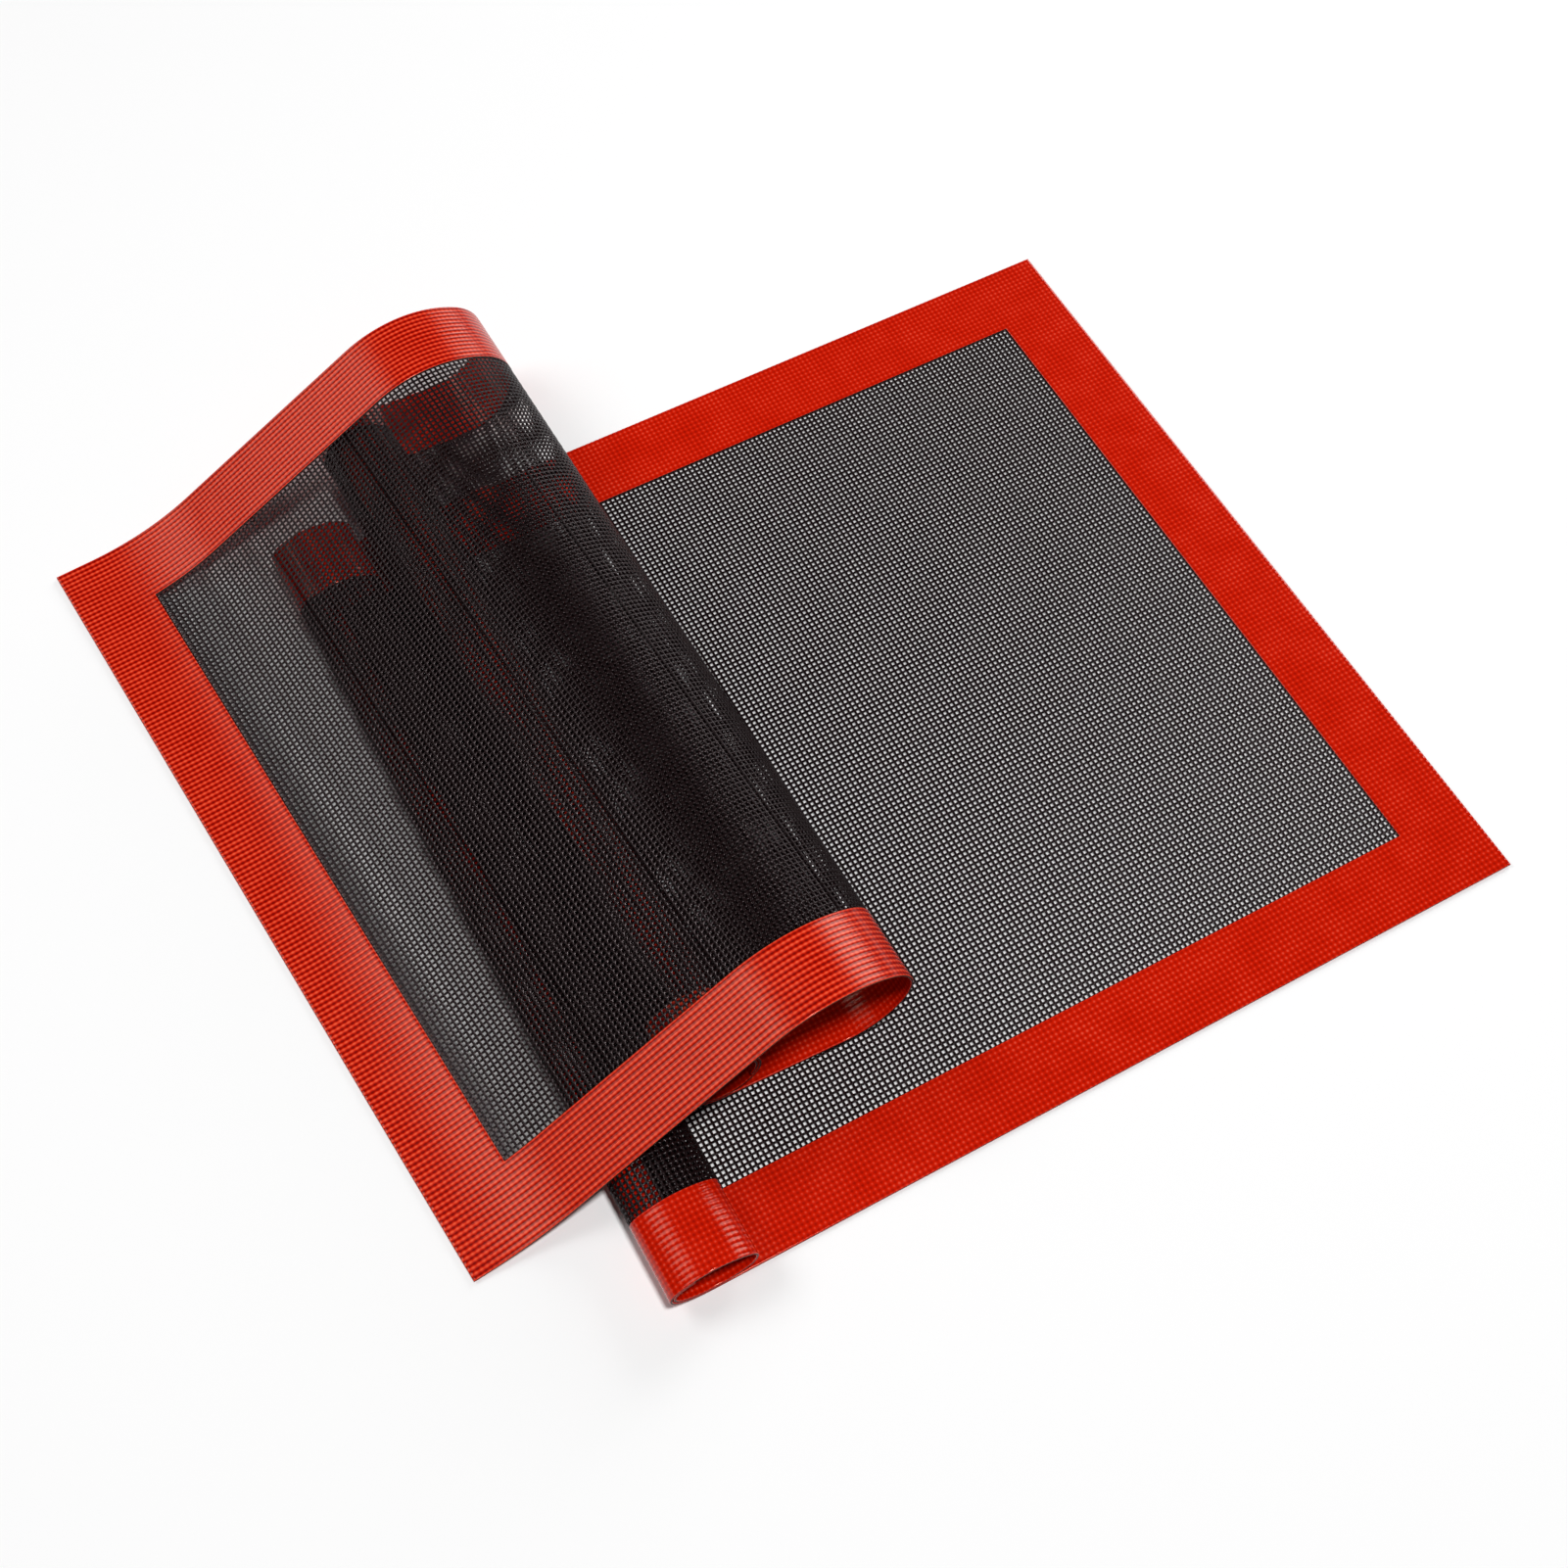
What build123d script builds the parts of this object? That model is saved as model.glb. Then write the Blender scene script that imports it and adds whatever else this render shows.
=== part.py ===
from build123d import *
from math import asin, copysign, cos, degrees, radians, sin, tan
import os

os.makedirs("parts", exist_ok=True)

# Two alike mats: a mesh cloth with a solid band round its edge
MAT_LENGTH = 400.0
MAT_WIDTH = 300.0
BORDER = 26.0
CLOTH = 0.7
BAND = 0.9
CLEAR = 0.4

# Lower mat: flat on the table, its left end rolled up over itself, with this much of it in the roll
LOWER_ROLLED = 104.0
LOWER_ROLL_WIDTH = 31.0
LOWER_ROLL_HEIGHT = 19.0
LOWER_ROLL_SIDE = 7.0

# Upper mat: a flap from the table over both rolls, a fold and a short bed
FOOT_SETBACK = 50.0
FOLD_ANGLE = 0.98
SKEW_ANGLE = 3.1
SLOPE_ANGLE = 26.5
DROP_ANGLE = 35.0
RISE_RADIUS = 87.5
SLOPE_RUN = 76.5
CREST_RADIUS = 42.5
SHOULDER_RADIUS = 21.0

# Roll at the hidden end of the upper mat, and how much of the mat is in it
UPPER_ROLLED = 137.5
UPPER_ROLL_WIDTH = 28.0
UPPER_ROLL_HEIGHT = 26.5
UPPER_ROLL_SIDE = 11.5
ROLL_GAP = 1.0

# Coarse openings that stand for the mesh's fine ones, and the share of a cell that is open each way
OPENINGS_ACROSS = 12
OPEN_SHARE = 0.5

# A sheet is laid out as runs of (length, no turn) or (radius, turn), right turns negative
HALF_ANGLE = 180.0
QUARTER_ANGLE = HALF_ANGLE / 2
FULL_ANGLE = HALF_ANGLE * 2


def run_length(run):
    """Length of one run along the outer face."""
    size, turn = run
    return size * radians(abs(turn)) if turn else size


def total_length(runs):
    """Length of all the runs together."""
    return sum(run_length(run) for run in runs)


def walk(spot, way, runs):
    """Follow the runs from a point and a heading to their end."""
    x, z = spot
    for size, turn in runs:
        if turn:
            side = copysign(size, turn)
            x -= side * sin(radians(way))
            z += side * cos(radians(way))
            way += turn
            x += side * sin(radians(way))
            z -= side * cos(radians(way))
        else:
            x += size * cos(radians(way))
            z += size * sin(radians(way))
    return (x, z), way


def cut_runs(runs, start, stop):
    """Keep the runs between two lengths."""
    kept, done = [], 0
    for run in runs:
        size, turn = run
        length = run_length(run)
        low, high = max(start, done), min(stop, done + length)
        if high > low:
            share = (high - low) / length
            kept.append((size, turn * share) if turn else (size * share, 0))
        done += length
    return kept


def roll_runs(width, height, side, lay, length):
    """Runs of a flattened roll, wound inward by one lay a turn, from its bottom centre."""
    reach = width / 2 - side
    big = (reach**2 + height**2 / 4 - side**2) / (height - 2 * side)
    half = degrees(asin(reach / (big - side)))
    end = HALF_ANGLE - 2 * half
    runs, turned = [], 0
    while total_length(runs) < length:
        for size, turn in ((big, half), (side, end), (big, half)):
            loss = lay * (turned + turn / 2) / FULL_ANGLE
            runs.append((size - loss, -turn))
            turned += turn
    return cut_runs(runs, 0, length)


def draw_runs(spot, way, runs, inset):
    """Draw the runs as one line, inset to the right of the outer face."""
    spot = (spot[0] + inset * sin(radians(way)), spot[1] - inset * cos(radians(way)))
    for size, turn in runs:
        heading = (cos(radians(way)), sin(radians(way)))
        if turn:
            piece = JernArc(spot, heading, size + copysign(inset, turn), turn)
        else:
            piece = Line(spot, (spot[0] + size * heading[0], spot[1] + size * heading[1]))
        end = piece @ 1
        spot, way = (end.X, end.Y), way + turn
    return spot


def bent_sheet(side_plane, spot, way, runs, thick, depth):
    """A sheet bent along the runs and as deep as given, away from the viewer."""
    with BuildPart() as sheet:
        with BuildSketch(side_plane):
            with BuildLine():
                outer_end = draw_runs(spot, way, runs, 0)
                inner_end = draw_runs(spot, way, runs, thick)
                Line(outer_end, inner_end)
                inner = (spot[0] + thick * sin(radians(way)), spot[1] - thick * cos(radians(way)))
                Line(spot, inner)
            make_face()
        extrude(amount=-depth)
    return sheet.part


def flat_sheet(corners, base, thick):
    """A flat sheet over the given corners."""
    with BuildPart() as sheet:
        with BuildSketch(Plane.XY.offset(base)):
            with BuildLine():
                Polyline(corners, close=True)
            make_face()
        extrude(amount=thick)
    return sheet.part


def hand_in(piece, name):
    """Label a piece and write it out."""
    piece.label = name
    export_step(piece, f"parts/{name}.step")


# Bands across the width: name, near edge, far edge, thickness
half_width = MAT_WIDTH / 2
field = MAT_WIDTH - BORDER
across = (
    ("near_band", 0, BORDER, BAND),
    ("mesh", BORDER, field, CLOTH),
    ("far_band", field, MAT_WIDTH, BAND),
)
lay = BAND + CLEAR
opening_pitch = (field - BORDER) / OPENINGS_ACROSS
opening = opening_pitch * OPEN_SHARE

# Lower mat, flat part
flat_run = MAT_LENGTH - LOWER_ROLLED
right_edge = flat_run / 2
roll_x = -right_edge
inner_edge = right_edge - BORDER
for name, near, far, thick in across:
    right = inner_edge if name == "mesh" else right_edge
    near_y, far_y = near - half_width, far - half_width
    corners = [(roll_x, near_y), (right, near_y), (right, far_y), (roll_x, far_y)]
    with BuildPart() as lower_flat:
        add(flat_sheet(corners, 0, thick))
        if name == "mesh":
            rows = round((right - roll_x) / opening_pitch)
            row_pitch = (right - roll_x) / rows
            with Locations(((right + roll_x) / 2, 0, 0)):
                with GridLocations(row_pitch, opening_pitch, rows, OPENINGS_ACROSS):
                    Box(row_pitch * OPEN_SHARE, opening, BAND * 2, mode=Mode.SUBTRACT)
    hand_in(lower_flat.part, f"lower_mat_{name}")

# Lower mat, band along its right edge
field_y = field - half_width
corners = [(inner_edge, -field_y), (right_edge, -field_y), (right_edge, field_y), (inner_edge, field_y)]
with BuildPart() as lower_end:
    add(flat_sheet(corners, 0, BAND))
hand_in(lower_end.part, "lower_mat_end_band")

# Lower mat, rolled end
lower_runs = roll_runs(LOWER_ROLL_WIDTH, LOWER_ROLL_HEIGHT, LOWER_ROLL_SIDE, lay, LOWER_ROLLED)


def rolled_part(x, base, runs, start, stop, near_y, far_y, thick):
    """The part of a roll between two lengths of its sheet and two places along its axis."""
    spot, way = walk((0, 0), HALF_ANGLE, cut_runs(runs, 0, start))
    side_plane = Plane(origin=(x, near_y, base), x_dir=(1, 0, 0), z_dir=(0, -1, 0))
    return bent_sheet(side_plane, spot, way, cut_runs(runs, start, stop), thick, far_y - near_y)


def roll_pieces(prefix, x, base, runs, edges):
    """The three bands across a roll and the band at its inner end."""
    length = total_length(runs)
    for (name, _, _, thick), near_y, far_y in zip(across, edges[:-1], edges[1:]):
        stop = length - BORDER if name == "mesh" else length
        with BuildPart() as rolled:
            add(rolled_part(x, base, runs, 0, stop, near_y, far_y, thick))
        hand_in(rolled.part, f"{prefix}_roll_{name}")
    with BuildPart() as inner_band:
        add(rolled_part(x, base, runs, length - BORDER, length, edges[1], edges[2], BAND))
    hand_in(inner_band.part, f"{prefix}_roll_inner_band")


lower_edges = [-half_width, -field_y, field_y, half_width]
roll_pieces("lower", roll_x, 0, lower_runs, lower_edges)

# Upper mat, course of its outer face from the start of the rise to the bed
rise_runs = [(RISE_RADIUS, SLOPE_ANGLE), (SLOPE_RUN, 0), (CREST_RADIUS, -SLOPE_ANGLE)]
brow_runs = [(CREST_RADIUS, -DROP_ANGLE), (SHOULDER_RADIUS, DROP_ANGLE - QUARTER_ANGLE)]
toe_spot = (0, BAND)
rise_spot, _ = walk(toe_spot, 0, rise_runs[:1])
crest_spot, _ = walk(toe_spot, 0, rise_runs)
side_spot, _ = walk(crest_spot, 0, brow_runs)
foot_radius = side_spot[1] - BAND
foot_runs = [(foot_radius, -QUARTER_ANGLE)]
foot_spot, _ = walk(side_spot, -QUARTER_ANGLE, foot_runs)
crest_length = total_length(rise_runs)
side_length = crest_length + total_length(brow_runs)
foot_length = side_length + total_length(foot_runs)

# The flap's slope clears the lower roll
reach = LOWER_ROLL_WIDTH / 2 - LOWER_ROLL_SIDE
spare = LOWER_ROLL_HEIGHT - 2 * LOWER_ROLL_SIDE
roll_back = (reach**2 + LOWER_ROLL_HEIGHT**2 / 4 - LOWER_ROLL_SIDE**2) / spare
roll_middle = LOWER_ROLL_HEIGHT / 2
slope_cos = cos(radians(SLOPE_ANGLE))
slope_tan = tan(radians(SLOPE_ANGLE))
skew_cos = cos(radians(SKEW_ANGLE))
skew_sin = sin(radians(SKEW_ANGLE))
skew_tan = tan(radians(SKEW_ANGLE))
turn_cos = cos(radians(FOLD_ANGLE))
turn_sin = sin(radians(FOLD_ANGLE))
off_middle = roll_back - (roll_back - roll_middle) * slope_cos + CLEAR + BAND
slope_height = roll_middle + off_middle / slope_cos
slope_rise = (slope_height - rise_spot[1]) / slope_tan
slope_v = rise_spot[0] + slope_rise
slope_a = (total_length(rise_runs[:1]) + slope_rise / slope_cos - foot_length) * skew_tan
foot_v = foot_spot[0]
foot_x = roll_x - (slope_v - foot_v) * turn_cos + slope_a * turn_sin
foot_y = FOOT_SETBACK - half_width


def plan(v, a):
    """Point on the table from the distance across the fold and the distance along it."""
    back = v - foot_v
    return (foot_x + back * turn_cos - a * turn_sin, foot_y + back * turn_sin + a * turn_cos)


def course_v(length):
    """Distance across the fold of a point of the flap, from its length along the sheet."""
    if length < 0:
        return length
    return walk(toe_spot, 0, cut_runs(rise_runs, 0, length))[0][0]


def upright_plane(one, two):
    """Upright plane through two points, its front to the left of the way between them."""
    way = (-(two[1] - one[1]), two[0] - one[0], 0)
    return Plane(origin=(one[0], one[1], 0), z_dir=way)


# The bed reaches from the foot of the fold to the upper roll, and the flap takes what is left of the mat
bed_way = radians(FOLD_ANGLE - SKEW_ANGLE)
upper_roll_x = roll_x + (LOWER_ROLL_WIDTH + UPPER_ROLL_WIDTH) / 2 + ROLL_GAP
bed_length = (plan(foot_v, half_width / skew_cos)[0] - upper_roll_x) / cos(bed_way)
toe_length = foot_length + half_width * skew_tan + bed_length + UPPER_ROLLED - MAT_LENGTH
toe_a = (toe_length - foot_length) * skew_tan

# Ends of the rim's straight stretches, as distance across and distance along the fold
rim_marks = {
    "toe": (course_v(toe_length), toe_a),
    "crest": (crest_spot[0], (crest_length - foot_length) * skew_tan),
    "side": (side_spot[0], (side_length - foot_length) * skew_tan),
    "foot": (foot_v, 0),
}


def rim_plane(one, two, inward):
    """Upright plane along the near rim, moved inward over the sheet."""
    ends = sorted((rim_marks[one], rim_marks[two]))
    shift = inward / skew_cos
    return upright_plane(plan(ends[0][0], ends[0][1] + shift), plan(ends[1][0], ends[1][1] + shift))


def fold_strip(spot, way, runs, marks, near, far, thick):
    """A stretch of the upper mat between two lines along its rim."""
    margin = MAT_WIDTH / 2
    origin = (*plan(0, -margin), 0)
    side_plane = Plane(origin=origin, x_dir=(turn_cos, turn_sin, 0), z_dir=(turn_sin, -turn_cos, 0))
    with BuildPart() as strip:
        add(bent_sheet(side_plane, spot, way, runs, thick, MAT_WIDTH + 2 * margin))
        split(bisect_by=rim_plane(*marks, near), keep=Keep.TOP)
        split(bisect_by=rim_plane(*marks, far), keep=Keep.BOTTOM)
    return strip.part


def end_plane(inward):
    """Upright plane along the flap's left edge, moved inward over the sheet."""
    near_length = toe_length + inward * skew_cos
    far_length = near_length - MAT_WIDTH * skew_sin
    near_a = toe_a + inward * skew_sin
    far_a = near_a + MAT_WIDTH * skew_cos
    return upright_plane(plan(course_v(near_length), near_a), plan(course_v(far_length), far_a))


# Places of the flap's openings, in rows from its end band to the crest
flap_field = (crest_length - toe_length) / skew_cos - BORDER
flap_rows = round(flap_field / opening_pitch)
flap_row_pitch = flap_field / flap_rows
cutter_height = (crest_spot[1] + BAND) * 2
flap_openings = []
for row in range(flap_rows):
    for column in range(OPENINGS_ACROSS):
        down = BORDER + flap_row_pitch / 2 + flap_row_pitch * row
        over = BORDER + opening_pitch / 2 + opening_pitch * column
        spot_v = course_v(toe_length + down * skew_cos - over * skew_sin)
        x, y = plan(spot_v, toe_a + down * skew_sin + over * skew_cos)
        flap_openings.append(Location((x, y, 0), (0, 0, FOLD_ANGLE + SKEW_ANGLE)))

# Flap from its left edge on the table up to the crest
toe_flat = MAT_WIDTH * skew_tan - min(toe_length, 0)
flap_spot = (-toe_flat, BAND)
flap_runs = [(toe_flat, 0)] + rise_runs
for name, near, far, thick in across:
    with BuildPart() as flap_strip:
        add(fold_strip(flap_spot, 0, flap_runs, ("toe", "crest"), near, far, thick))
        split(bisect_by=end_plane(BORDER if name == "mesh" else 0), keep=Keep.BOTTOM)
        if name == "mesh":
            with Locations(*flap_openings):
                Box(flap_row_pitch * OPEN_SHARE * slope_cos, opening, cutter_height, mode=Mode.SUBTRACT)
    hand_in(flap_strip.part, f"flap_{name}")

# Flap, band along its left edge
with BuildPart() as flap_end:
    add(fold_strip(flap_spot, 0, flap_runs, ("toe", "crest"), BORDER, field, BAND))
    split(bisect_by=end_plane(0), keep=Keep.BOTTOM)
    split(bisect_by=end_plane(BORDER), keep=Keep.TOP)
hand_in(flap_end.part, "flap_end_band")

# Fold from the crest down to the bed
for name, near, far, thick in across:
    with BuildPart() as fold:
        add(fold_strip(crest_spot, 0, brow_runs, ("crest", "side"), near, far, thick))
        add(fold_strip(side_spot, -QUARTER_ANGLE, foot_runs, ("side", "foot"), near, far, thick))
    hand_in(fold.part, f"upper_fold_{name}")


def bed_edge(inward):
    """Ends of a line along the bed's rim: at the fold and at the roll."""
    right = plan(foot_v, inward / skew_cos)
    run = right[0] - upper_roll_x
    return right, (upper_roll_x, right[1] - run * tan(bed_way))


# Bed of the upper mat, flat on the lower mat
for name, near, far, thick in across:
    near_right, near_left = bed_edge(near)
    far_right, far_left = bed_edge(far)
    with BuildPart() as bed:
        add(flat_sheet([near_left, near_right, far_right, far_left], BAND, thick))
    hand_in(bed.part, f"upper_bed_{name}")

# Upper mat, rolled end beside the lower roll
upper_runs = roll_runs(UPPER_ROLL_WIDTH, UPPER_ROLL_HEIGHT, UPPER_ROLL_SIDE, lay, UPPER_ROLLED)
upper_edges = [bed_edge(inward)[1][1] for inward in (0, BORDER, field, MAT_WIDTH)]
roll_pieces("upper", upper_roll_x, BAND, upper_runs, upper_edges)
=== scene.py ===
from math import asin, ceil, copysign, cos, radians, sin, tan

import bpy
import numpy as np
from mathutils import Matrix, Vector


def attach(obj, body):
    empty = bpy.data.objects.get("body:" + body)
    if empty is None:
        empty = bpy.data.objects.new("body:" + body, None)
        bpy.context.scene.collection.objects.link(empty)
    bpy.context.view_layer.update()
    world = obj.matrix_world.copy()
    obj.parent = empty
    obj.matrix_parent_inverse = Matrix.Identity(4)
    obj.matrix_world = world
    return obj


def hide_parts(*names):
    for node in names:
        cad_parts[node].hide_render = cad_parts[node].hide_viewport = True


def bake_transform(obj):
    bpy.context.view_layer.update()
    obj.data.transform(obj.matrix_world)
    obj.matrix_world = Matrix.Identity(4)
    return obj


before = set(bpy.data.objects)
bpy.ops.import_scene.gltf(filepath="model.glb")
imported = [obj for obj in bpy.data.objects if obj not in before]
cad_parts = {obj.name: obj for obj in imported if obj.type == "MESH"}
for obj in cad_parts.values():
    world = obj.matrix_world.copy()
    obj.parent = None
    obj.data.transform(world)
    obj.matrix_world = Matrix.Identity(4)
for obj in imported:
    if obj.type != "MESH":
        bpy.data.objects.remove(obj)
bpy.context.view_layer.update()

bl_info = {
    "name": "Silicone Baking Mats",
    "version": (1, 0, 0),
    "blender": (4, 5, 0),
    "location": "View3D > Sidebar > Baking Mats",
    "description": "Builds two perforated silicone baking mats, one flat and one folded over it",
    "category": "Object",
}

FULL_TURN = radians(360)
HALF_TURN = radians(180)
RIGHT_ANGLE = radians(90)
WHITE = (1, 1, 1, 1)

# A yarn's first side, its middle and its last side, in yarn widths from its middle
YARN_LINES = np.array([-0.5, 0, 0.5])
# Grid lines for each yarn of a band, along the mat and across it
LINES_ALONG, LINES_ACROSS = 2, 4
# How far a band piece runs on past its seam, in rim widths, so that its shading has no step there
OVERLAP_SHARE = 0.1
# The most yarns along one piece of cloth, which keeps it under 200,000 triangles
MAX_YARNS = 32


def number(name, default, description, **kind):
    """A number property from 0 up."""
    return bpy.props.FloatProperty(
        name=name, default=default, description=description, min=0, **kind
    )


def length(name, default, description):
    """A length property in metres."""
    return number(name, default, description, subtype="DISTANCE", unit="LENGTH", precision=5)


def turn(name, default, description):
    """An angle property, given in degrees."""
    return number(name, radians(default), description, subtype="ANGLE", unit="ROTATION")


def share(name, default, description):
    """A share from 0 to 1."""
    return number(name, default, description, max=1)


def power(name, default, description):
    """A lamp's power in watts."""
    return number(name, default, description, unit="POWER")


def position(name, default, description):
    """A place in the part's frame, in metres."""
    return bpy.props.FloatVectorProperty(
        name=name, default=default, description=description,
        subtype="TRANSLATION", unit="LENGTH", size=3, precision=5,
    )


def linear(code):
    """Linear RGB of an sRGB hex colour."""
    parts = [int(code[i : i + 2], 16) / 255 for i in (0, 2, 4)]
    return tuple(p / 12.92 if p <= 0.04045 else ((p + 0.055) / 1.055) ** 2.4 for p in parts)


def colour(name, default, description):
    """A colour property, given as sRGB hex and kept linear."""
    return bpy.props.FloatVectorProperty(
        name=name, default=linear(default), description=description,
        subtype="COLOR", size=3, min=0, max=1,
    )


class MatSizes(bpy.types.PropertyGroup):
    """Cut size and build of both mats."""

    mat_length: length("Length", 0.400, "Cut length of a mat")
    mat_width: length("Width", 0.300, "Cut width of a mat")
    border: length("Border", 0.026, "Width of the silicone band")
    cloth: length("Cloth", 0.0007, "Thickness of the mesh")
    band: length("Band", 0.0009, "Thickness of the silicone band")
    clear: length("Clear", 0.0004, "Air between two layers of a roll")
    pitch: length("Pitch", 0.00184, "Distance from yarn to yarn")
    yarn: length("Yarn", 0.00076, "Width of a coated yarn")
    yarn_dip: share("Yarn dip", 0.36, "Height that a yarn loses on its way under another")
    yarn_side: share("Yarn side", 0.28, "Height of a yarn's sides, as a share of its middle's")
    rim_share: share("Rim share", 0.25, "Size of a band's softened rim, in band thicknesses")
    ridge: length("Ridge", 0.00022, "Height of the ridges on a mat's ribbed face")
    ridge_share: share("Ridge share", 0.75, "Part of that height that runs along without a break")
    bead: length("Bead", 0.00022, "Height of the beads on its other face")
    bead_share: share("Bead share", 0.5, "Part of that height that runs along without a break")


class PlaceSizes(bpy.types.PropertyGroup):
    """How the two mats lie."""

    lower_rolled: length("Lower rolled", 0.104, "How much of the lower mat is in its roll")
    lower_width: length("Lower roll width", 0.031, "Width of the lower roll")
    lower_height: length("Lower roll height", 0.019, "Height of the lower roll")
    lower_side: length("Lower roll side", 0.007, "Radius of the lower roll's sides")
    foot_setback: length("Foot setback", 0.050, "From the lower mat's near edge to the fold")
    fold_turn: turn("Fold turn", 0.98, "Turn of the fold against the lower mat")
    skew: turn("Skew", 3.1, "Slant of the upper mat across its fold")
    slope: turn("Slope", 26.5, "Slope of the flap")
    drop: turn("Drop", 35.0, "Turn of the brow past the crest")
    rise_radius: length("Rise radius", 0.0875, "Radius where the flap leaves the table")
    slope_run: length("Slope run", 0.0765, "Straight part of the flap")
    crest_radius: length("Crest radius", 0.0425, "Radius of the crest")
    shoulder_radius: length("Shoulder radius", 0.021, "Radius below the brow")
    upper_rolled: length("Upper rolled", 0.1375, "How much of the upper mat is in its roll")
    upper_width: length("Upper roll width", 0.028, "Width of the upper roll")
    upper_height: length("Upper roll height", 0.0265, "Height of the upper roll")
    upper_side: length("Upper roll side", 0.0115, "Radius of the upper roll's sides")
    roll_gap: length("Roll gap", 0.001, "Air between the two rolls")
    bend_before: length("Bend before", 0.012, "Where the flap starts to give, before the crest")
    bend_after: length("Bend after", 0.008, "Where it has given fully, after the crest")


class MatColours(bpy.types.PropertyGroup):
    """Colours of the mats and of the table."""

    red: colour("Silicone", "CC1900", "Solid silicone of the band")
    # Lighter ridge tops: partly silicone thin over a pale yarn, partly a painted highlight
    ridge_and_painted_highlight: colour("Ridge", "E85636", "Silicone where a pale yarn lies close under it")
    # Bead tops: partly silicone thin over a yarn, partly a painted glint
    bead_and_painted_glint: colour("Bead", "F4785C", "Silicone at the top of a bead, where it is thinnest")
    # Furrows: partly deeper silicone, partly painted shade between the yarns
    furrow_and_painted_shade: colour("Furrow", "7C0300", "Silicone between the yarns, where it is deepest")
    # A warm tint painted into the silicone's highlights, standing in for warm light
    sheen: colour("Sheen", "FFDCC8", "Silicone's highlights, warm from the pigment under its skin")
    # Near black; its slight red cast is painted, standing in for light bounced from the red bands
    black: colour("Coated yarn", "140A0B", "Black silicone on glass yarn")
    # A pink tint painted into the yarns' highlights, standing in for the red reflected from the
    # bands
    black_sheen: colour("Yarn sheen", "FFEEF0", "Yarns' highlights, tinted by the red around them")
    rim: colour("Cut rim", "9A443A", "Cut rim of the band")
    yarn_end: colour("Yarn end", "24100E", "Yarn ends in the cut rim")
    table: colour("Table", "F4F4F4", "Table under the mats")


class MatFinish(bpy.types.PropertyGroup):
    """How the surfaces take the light. Heights go from 0 in a furrow to 1 over a yarn."""

    ior: number("IOR", 1.41, "Index of refraction of cured silicone")
    # The colour that follows the ridges and beads is partly painted highlight on their tops and
    # painted shade in the furrows
    ridge_contrast: share("Ridge contrast", 1.0, "How far the colour follows the ridges")
    bead_contrast: share("Bead contrast", 0.4, "How far the colour follows the beads")
    ridge_rough: share("Ridge roughness", 0.14, "The ribbed face at its smoothest")
    bead_rough: share("Bead roughness", 0.08, "The beaded face at its smoothest")
    furrow_stop: share("Furrow stop", 0.1, "Height up to which the furrow's colour goes")
    solid_stop: share("Solid stop", 0.6, "Height with the solid silicone's colour")
    top_stop: share("Top stop", 1.0, "Height with the colour of a ridge's or bead's top")
    cloud_scale: number("Clouds a yarn", 0.15, "One cloud in about 12 mm")
    cloud_detail: number("Cloud detail", 3.0, "Finer clouds within it")
    cloud_tone: share("Cloud tone", 0.2, "How far the clouds change the colour")
    cloud_rough: share("Cloud roughness", 0.12, "How much roughness the clouds add")
    pore_scale: number("Pores a yarn", 3.0, "One in about 0.6 mm, coarser than real ones to show")
    pore_detail: number("Pore detail", 2.0, "Finer pores within it")
    pore_bump: share("Pore bump", 0.3, "Strength of the pores")
    pore_depth: length("Pore depth", 0.00004, "Depth of the pores")
    rim_stop: share("Rim stop", 0.35, "Height in the cut rim up to which it is bare silicone")
    yarn_end_stop: share("Yarn end stop", 0.6, "Height in the cut rim at which a yarn's end starts")
    rim_rough: share("Rim roughness", 0.6, "The cut rim")
    grain_scale: number("Grains a yarn", 1.6, "One uneven spot of coating in about 1.2 mm")
    grain_detail: number("Grain detail", 2.0, "Finer spots within it")
    grain_rough: share("Grain roughness", 0.24, "How much roughness the spots add")
    grain_tone: share("Grain tone", 1.0, "How much of the colour the spots add")
    grain_bump: share("Grain bump", 0.5, "Strength of the spots")
    grain_depth: length("Grain depth", 0.00005, "Depth of the spots")
    yarn_rough: share("Yarn roughness", 0.1, "The coated yarn at its smoothest")
    yarn_tone: share("Yarn tone", 0.5, "Part of the yarn's colour that is there between the spots")
    yarn_gloss: share("Yarn gloss", 0.27, "Strength of the yarns' highlights")
    table_rough: share("Table roughness", 0.9, "The table")
    table_gloss: share("Table gloss", 0.1, "Strength of the table's highlights")


class StageSizes(bpy.types.PropertyGroup):
    """The studio: its light, its table and the photograph's camera."""

    key_power: power("Key", 54.5, "High softbox on the near side, which makes most of the light")
    key_size: length("Key size", 0.35, "Side of the key softbox")
    key_place: position("Key place", (0.05, -0.66, 2.62), "Where the key softbox hangs")
    left_power: power("Left", 8.0, "Softbox whose mirror image is on the flap's slope")
    left_place: position("Left place", (-0.97, 0.77, 1.30), "Behind on the left")
    right_power: power("Right", 12.0, "Softbox whose mirror image is on the fold")
    right_place: position("Right place", (1.40, 0.79, 0.78), "Behind on the right")
    side_size: length("Side size", 0.8, "Side of the two softboxes behind")
    aim: position("Aim", (0, 0, 0.02), "Where the softboxes point")
    soft: number("Soft light", 0.06, "Level of the room's light")
    table_side: length("Table side", 6.0, "Side of the table")
    table_drop: length("Table drop", 0.0004, "Air under the mats, in which their beads stand")
    camera_place: position("Camera place", (-0.23462, -0.33024, 0.65298), "Where the camera stood")
    sensor: number("Sensor", 36.0, "Width of the camera's sensor in millimetres")
    lens: number("Lens", 51.58, "Focal length of the camera in millimetres")


def sizes():
    """Sizes of both mats."""
    return bpy.context.scene.mat_sizes


def places():
    """How the mats lie."""
    return bpy.context.scene.mat_places


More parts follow.
